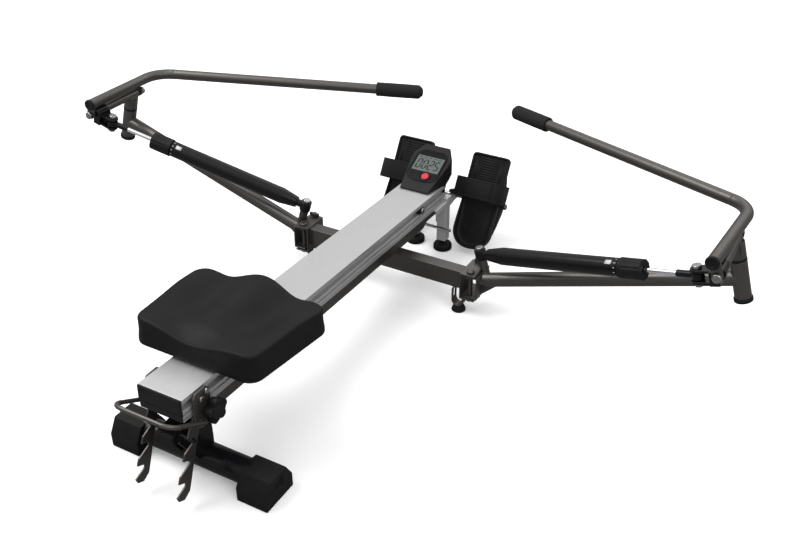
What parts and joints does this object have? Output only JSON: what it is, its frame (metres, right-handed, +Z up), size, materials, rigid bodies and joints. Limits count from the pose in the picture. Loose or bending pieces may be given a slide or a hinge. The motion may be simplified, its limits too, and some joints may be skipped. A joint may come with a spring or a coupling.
{
  "type": "rowing machine",
  "caption": "Folding sculling rower with swinging oar handles on hinged outriggers, hydraulic cylinders, a rail with a sliding seat, tilting footplates and a small display.",
  "frame": {"origin": "on the floor under the middle of the bounding box, with both outriggers out and the handles forward", "axes": "+X to the rower's right, +Y forward toward the footplates, +Z up"},
  "size_m": [1.5998, 1.237, 0.3658],
  "materials": {
    "aluminium": "satin anodised",
    "grey_paint": "satin, slightly metallic",
    "silver_paint": "satin",
    "black_paint": "semi-gloss",
    "zinc": "bright",
    "chrome": "mirror",
    "black_plastic": "fine grain",
    "gloss_black": "gloss",
    "display": "unlit display",
    "red_button": "satin",
    "seat_skin": "moulded satin skin",
    "rubber": "matte",
    "webbing": "woven",
    "foam": "closed-cell foam"
  },
  "bodies": {
    "frame": {"rail": "aluminium", "rail_end_caps": "black_plastic", "spine_tube": "grey_paint", "cross_tube": "grey_paint", "hinge_bolts": "grey_paint", "end_foot_pads": "rubber", "front_posts": "silver_paint", "front_bracket": "silver_paint", "stop_rod": "zinc", "footplate_axle": "zinc", "monitor_housing": "black_plastic", "monitor_bezel": "gloss_black", "lcd_screen": "display", "seat_stops": "rubber", "rear_side_plates": "grey_paint", "frame_bolts": "zinc"},
    "seat": {"seat_pad": "seat_skin", "seat_pan": "black_plastic", "seat_carriage": "grey_paint"},
    "front_rollers": {"front_rollers": "black_plastic"},
    "rear_rollers": {"rear_rollers": "black_plastic"},
    "monitor_button": {"monitor_button": "red_button"},
    "rear_leg": {"rear_leg": "black_paint", "rear_foot_tube": "grey_paint", "rear_foot_caps": "rubber"},
    "height_latch": {"height_latch": "grey_paint"},
    "star_knob": {"star_knob": "black_plastic"},
    "footplate_left": {"footplate_left": "black_plastic", "foot_strap_left": "webbing"},
    "front_foot_left": {"front_foot_left": "rubber"},
    "arm_left": {"outrigger_left": "grey_paint", "sleeve_ends_left": "black_plastic", "pivot_bolt_left": "zinc"},
    "lock_pin_left": {"lock_pin_left": "grey_paint"},
    "yoke_left": {"yoke_left": "grey_paint", "knuckle_left": "black_paint", "yoke_bolts_left": "zinc"},
    "handle_left": {"handle_left": "grey_paint", "handle_ends_left": "foam"},
    "cylinder_left": {"cylinder_left": "black_paint"},
    "collar_left": {"collar_left": "black_plastic"},
    "rod_left": {"rod_left": "chrome", "rod_end_left": "black_paint"},
    "footplate_right": {"footplate_right": "black_plastic", "foot_strap_right": "webbing"},
    "front_foot_right": {"front_foot_right": "rubber"},
    "arm_right": {"outrigger_right": "grey_paint", "sleeve_ends_right": "black_plastic", "pivot_bolt_right": "zinc"},
    "lock_pin_right": {"lock_pin_right": "grey_paint"},
    "yoke_right": {"yoke_right": "grey_paint", "knuckle_right": "black_paint", "yoke_bolts_right": "zinc"},
    "handle_right": {"handle_right": "grey_paint", "handle_ends_right": "foam"},
    "cylinder_right": {"cylinder_right": "black_paint"},
    "collar_right": {"collar_right": "black_plastic"},
    "rod_right": {"rod_right": "chrome", "rod_end_right": "black_paint"}
  },
  "joints": [
    {"name": "seat_slide", "type": "slide", "parent": "frame", "child": "seat", "axis": [0, 0.9993, -0.0384], "range_m": [-0.03, 0.55]},
    {"name": "front_rollers_turn", "type": "hinge", "parent": "seat", "child": "front_rollers", "pos_m": [0, -0.32659, 0.19528], "axis": [1, 0, 0], "continuous": true},
    {"name": "rear_rollers_turn", "type": "hinge", "parent": "seat", "child": "rear_rollers", "pos_m": [0, -0.42652, 0.19912], "axis": [1, 0, 0], "continuous": true},
    {"name": "monitor_button_press", "type": "slide", "parent": "frame", "child": "monitor_button", "axis": [0, 0.4384, -0.8988], "range_m": [0, 0.0015], "stiffness_N_per_m": 600, "springref_m": -0.001},
    {"name": "rear_leg_swing", "type": "hinge", "parent": "frame", "child": "rear_leg", "pos_m": [0, -0.38435, 0.136], "axis": [1, 0, 0], "range_deg": [0, 4]},
    {"name": "height_latch_swing", "type": "hinge", "parent": "frame", "child": "height_latch", "pos_m": [0, -0.53635, 0.16], "axis": [1, 0, 0], "range_deg": [0, 20]},
    {"name": "star_knob_turn", "type": "hinge", "parent": "frame", "child": "star_knob", "pos_m": [0.0545, -0.50835, 0.168], "axis": [1, 0, 0], "range_deg": [-180, 180]},
    {"name": "footplate_tilt_left", "type": "hinge", "parent": "frame", "child": "footplate_left", "pos_m": [-0.104, 0.50265, 0.1], "axis": [1, 0, 0], "range_deg": [-18, 0]},
    {"name": "front_foot_turn_left", "type": "hinge", "parent": "frame", "child": "front_foot_left", "pos_m": [-0.038, 0.40565, 0.02], "axis": [0, 0, 1], "range_deg": [-180, 180]},
    {"name": "arm_fold_left", "type": "hinge", "parent": "frame", "child": "arm_left", "pos_m": [-0.22, 0.17765, 0.075], "axis": [0, 0, -1], "range_deg": [-80, 0]},
    {"name": "lock_pin_lift_left", "type": "slide", "parent": "arm_left", "child": "lock_pin_left", "axis": [0, 0, 1], "range_m": [0, 0.095]},
    {"name": "oar_swing_left", "type": "hinge", "parent": "arm_left", "child": "yoke_left", "pos_m": [-0.76278, 0.20965, 0.26458], "axis": [-0.2924, 0, -0.9563], "range_deg": [-8, 50]},
    {"name": "handle_lift_left", "type": "hinge", "parent": "yoke_left", "child": "handle_left", "pos_m": [-0.74523, 0.17565, 0.32195], "axis": [0, -1, 0], "range_deg": [0, 25]},
    {"name": "cylinder_swing_left", "type": "hinge", "parent": "arm_left", "child": "cylinder_left", "pos_m": [-0.23009, 0.20565, 0.14354], "axis": [-0.2924, 0, -0.9563], "range_deg": [-0.5, 3]},
    {"name": "rod_slide_left", "type": "slide", "parent": "cylinder_left", "child": "rod_left", "axis": [-0.9289, -0.214, 0.3022], "range_m": [-0.02, 0.1]},
    {"name": "collar_turn_left", "type": "hinge", "parent": "cylinder_left", "child": "collar_left", "pos_m": [-0.23009, 0.20565, 0.14354], "axis": [0.9289, 0.214, -0.3022], "range_deg": [-150, 150]},
    {"name": "footplate_tilt_right", "type": "hinge", "parent": "frame", "child": "footplate_right", "pos_m": [0.104, 0.50265, 0.1], "axis": [1, 0, 0], "range_deg": [-18, 0]},
    {"name": "front_foot_turn_right", "type": "hinge", "parent": "frame", "child": "front_foot_right", "pos_m": [0.038, 0.40565, 0.02], "axis": [0, 0, 1], "range_deg": [-180, 180]},
    {"name": "arm_fold_right", "type": "hinge", "parent": "frame", "child": "arm_right", "pos_m": [0.22, 0.17765, 0.075], "axis": [0, 0, 1], "range_deg": [-80, 0]},
    {"name": "lock_pin_lift_right", "type": "slide", "parent": "arm_right", "child": "lock_pin_right", "axis": [0, 0, 1], "range_m": [0, 0.095]},
    {"name": "oar_swing_right", "type": "hinge", "parent": "arm_right", "child": "yoke_right", "pos_m": [0.76278, 0.20965, 0.26458], "axis": [-0.2924, 0, 0.9563], "range_deg": [-8, 50]},
    {"name": "handle_lift_right", "type": "hinge", "parent": "yoke_right", "child": "handle_right", "pos_m": [0.74523, 0.17565, 0.32195], "axis": [0, 1, 0], "range_deg": [0, 25]},
    {"name": "cylinder_swing_right", "type": "hinge", "parent": "arm_right", "child": "cylinder_right", "pos_m": [0.23009, 0.20565, 0.14354], "axis": [-0.2924, 0, 0.9563], "range_deg": [-0.5, 3]},
    {"name": "rod_slide_right", "type": "slide", "parent": "cylinder_right", "child": "rod_right", "axis": [0.9289, -0.214, 0.3022], "range_m": [-0.02, 0.1]},
    {"name": "collar_turn_right", "type": "hinge", "parent": "cylinder_right", "child": "collar_right", "pos_m": [0.23009, 0.20565, 0.14354], "axis": [0.9289, -0.214, 0.3022], "range_deg": [-150, 150]}
  ],
  "couplings": [
    {"joint": "front_rollers_turn", "follows": "seat_slide", "rad_per_m": -153.85},
    {"joint": "rear_rollers_turn", "follows": "seat_slide", "rad_per_m": -153.85},
    {"joint": "height_latch_swing", "follows": "rear_leg_swing", "ratio": 5},
    {"joint": "cylinder_swing_left", "follows": "oar_swing_left", "ratio": 0.0554},
    {"joint": "rod_slide_left", "follows": "oar_swing_left", "m_per_rad": 0.1138},
    {"joint": "cylinder_swing_right", "follows": "oar_swing_right", "ratio": 0.0554},
    {"joint": "rod_slide_right", "follows": "oar_swing_right", "m_per_rad": 0.1138}
  ]
}
